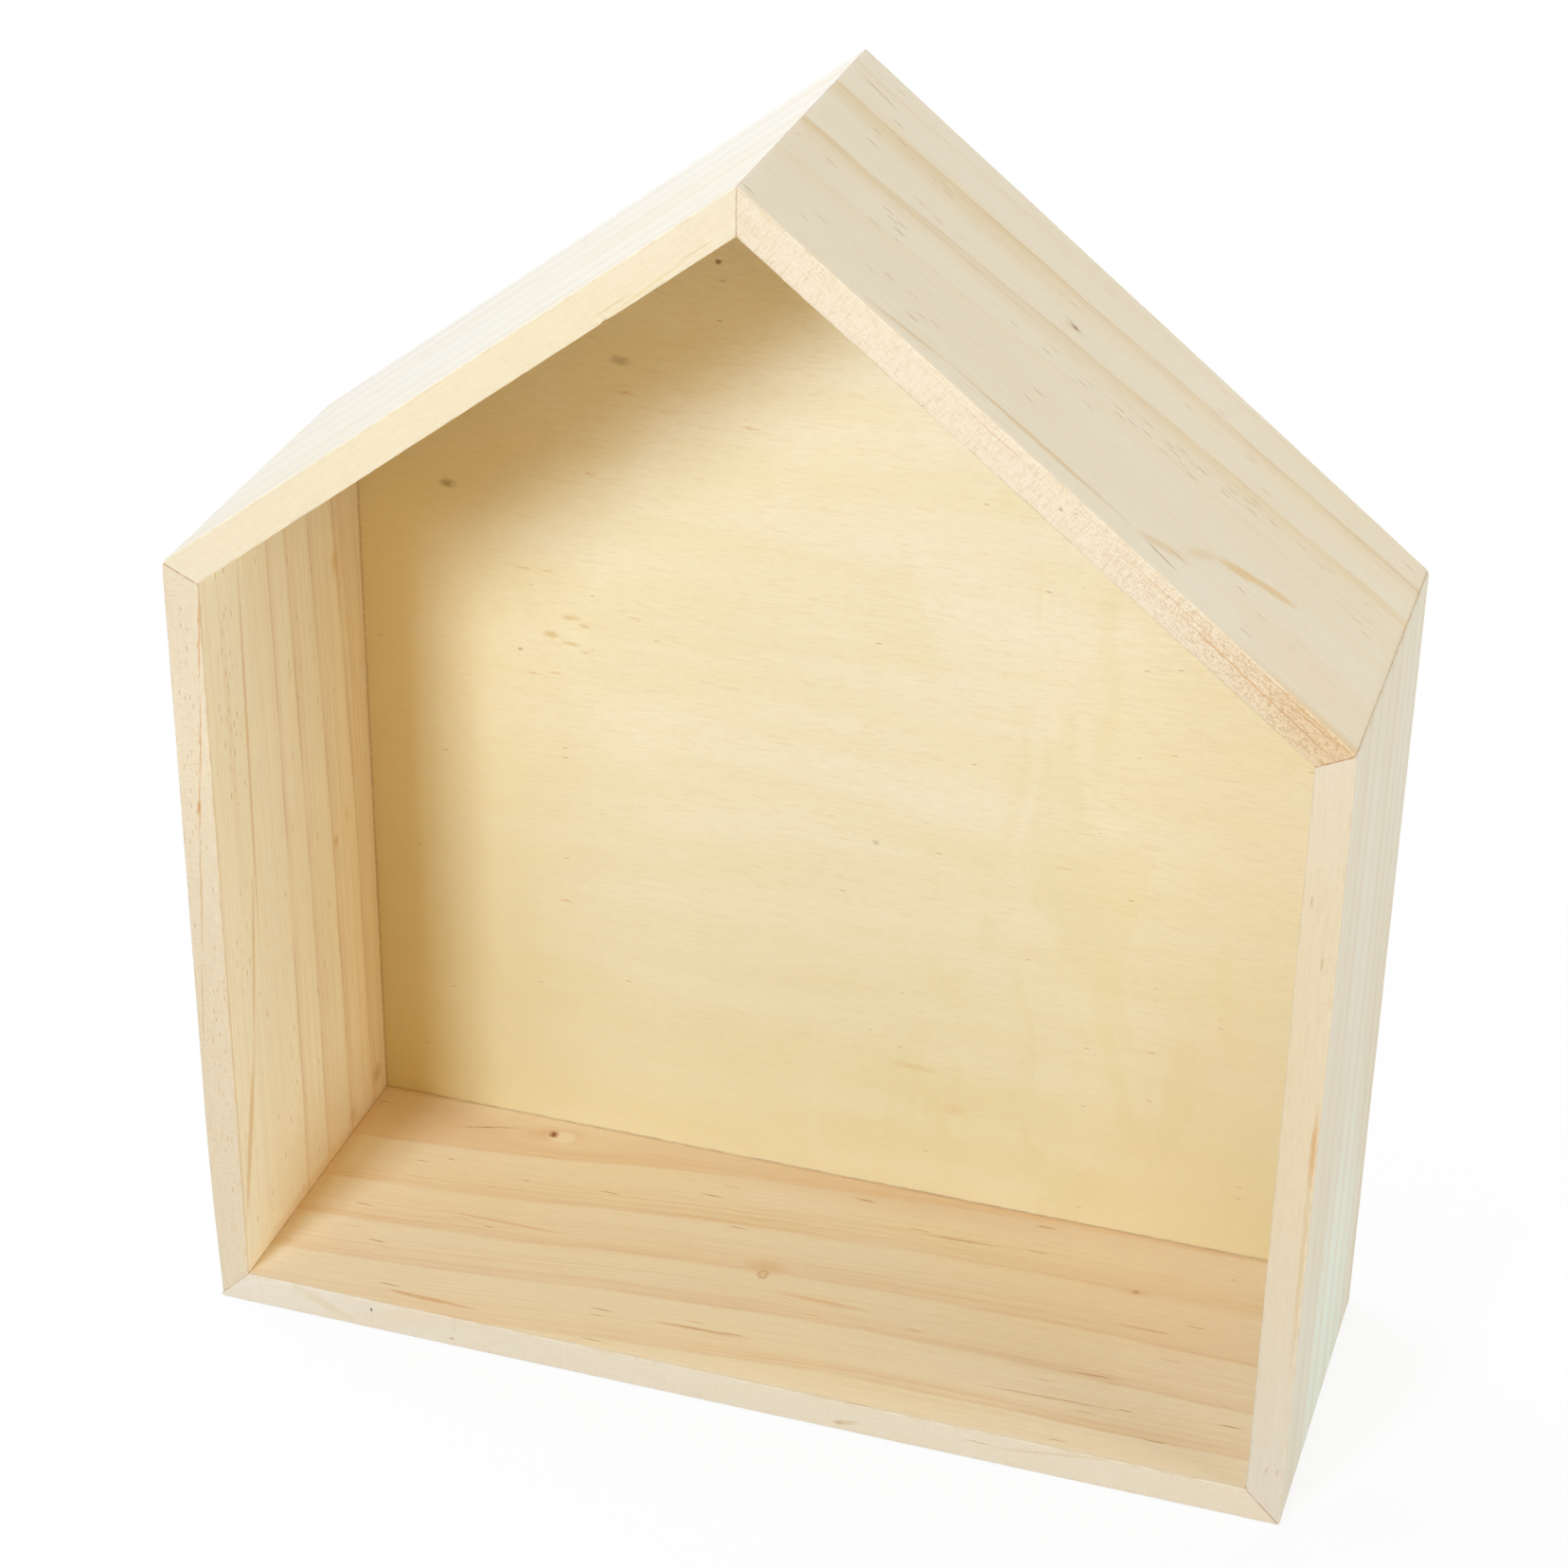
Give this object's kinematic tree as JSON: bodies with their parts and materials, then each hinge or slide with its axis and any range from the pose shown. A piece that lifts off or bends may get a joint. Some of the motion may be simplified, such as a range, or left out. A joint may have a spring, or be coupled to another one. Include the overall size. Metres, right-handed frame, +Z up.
{
  "type": "house-shaped wall shelf",
  "caption": "House-shaped open wall shelf: mitred pine boards round a thin plywood back let in flush, with corner wedges and a toothed hanger plate at the ridge.",
  "frame": {"origin": "centre of the underside of the base board, midway between the front and rear edges of the boards", "axes": "+X to the right as seen from the open front, +Y to the wall behind, +Z up to the ridge"},
  "size_m": [0.3, 0.1026, 0.346],
  "materials": {
    "pine": "planed and sanded, bare",
    "plywood": "sanded rotary-cut veneer, bare",
    "wedge_steel": "plain steel strip",
    "pin_steel": "bright drawn wire",
    "hanger_steel": "zinc plated, satin"
  },
  "bodies": {
    "root": {"base_board": "pine", "right_wall_board": "pine", "right_roof_board": "pine", "left_roof_board": "pine", "left_wall_board": "pine", "back_panel": "plywood", "base_left_corner_wedge": "wedge_steel", "base_right_corner_wedge": "wedge_steel", "right_eave_wedge": "wedge_steel", "ridge_wedge": "wedge_steel", "left_eave_wedge": "wedge_steel", "base_panel_pin_1": "pin_steel", "base_panel_pin_2": "pin_steel", "base_panel_pin_3": "pin_steel", "base_panel_pin_4": "pin_steel", "right_wall_panel_pin_1": "pin_steel", "right_wall_panel_pin_2": "pin_steel", "right_wall_panel_pin_3": "pin_steel", "right_roof_panel_pin_1": "pin_steel", "right_roof_panel_pin_2": "pin_steel", "right_roof_panel_pin_3": "pin_steel", "left_roof_panel_pin_1": "pin_steel", "left_roof_panel_pin_2": "pin_steel", "left_roof_panel_pin_3": "pin_steel", "left_wall_panel_pin_1": "pin_steel", "left_wall_panel_pin_2": "pin_steel", "left_wall_panel_pin_3": "pin_steel", "hanger_plate": "hanger_steel", "right_hanger_nail": "pin_steel", "left_hanger_nail": "pin_steel"}
  },
  "joints": []
}
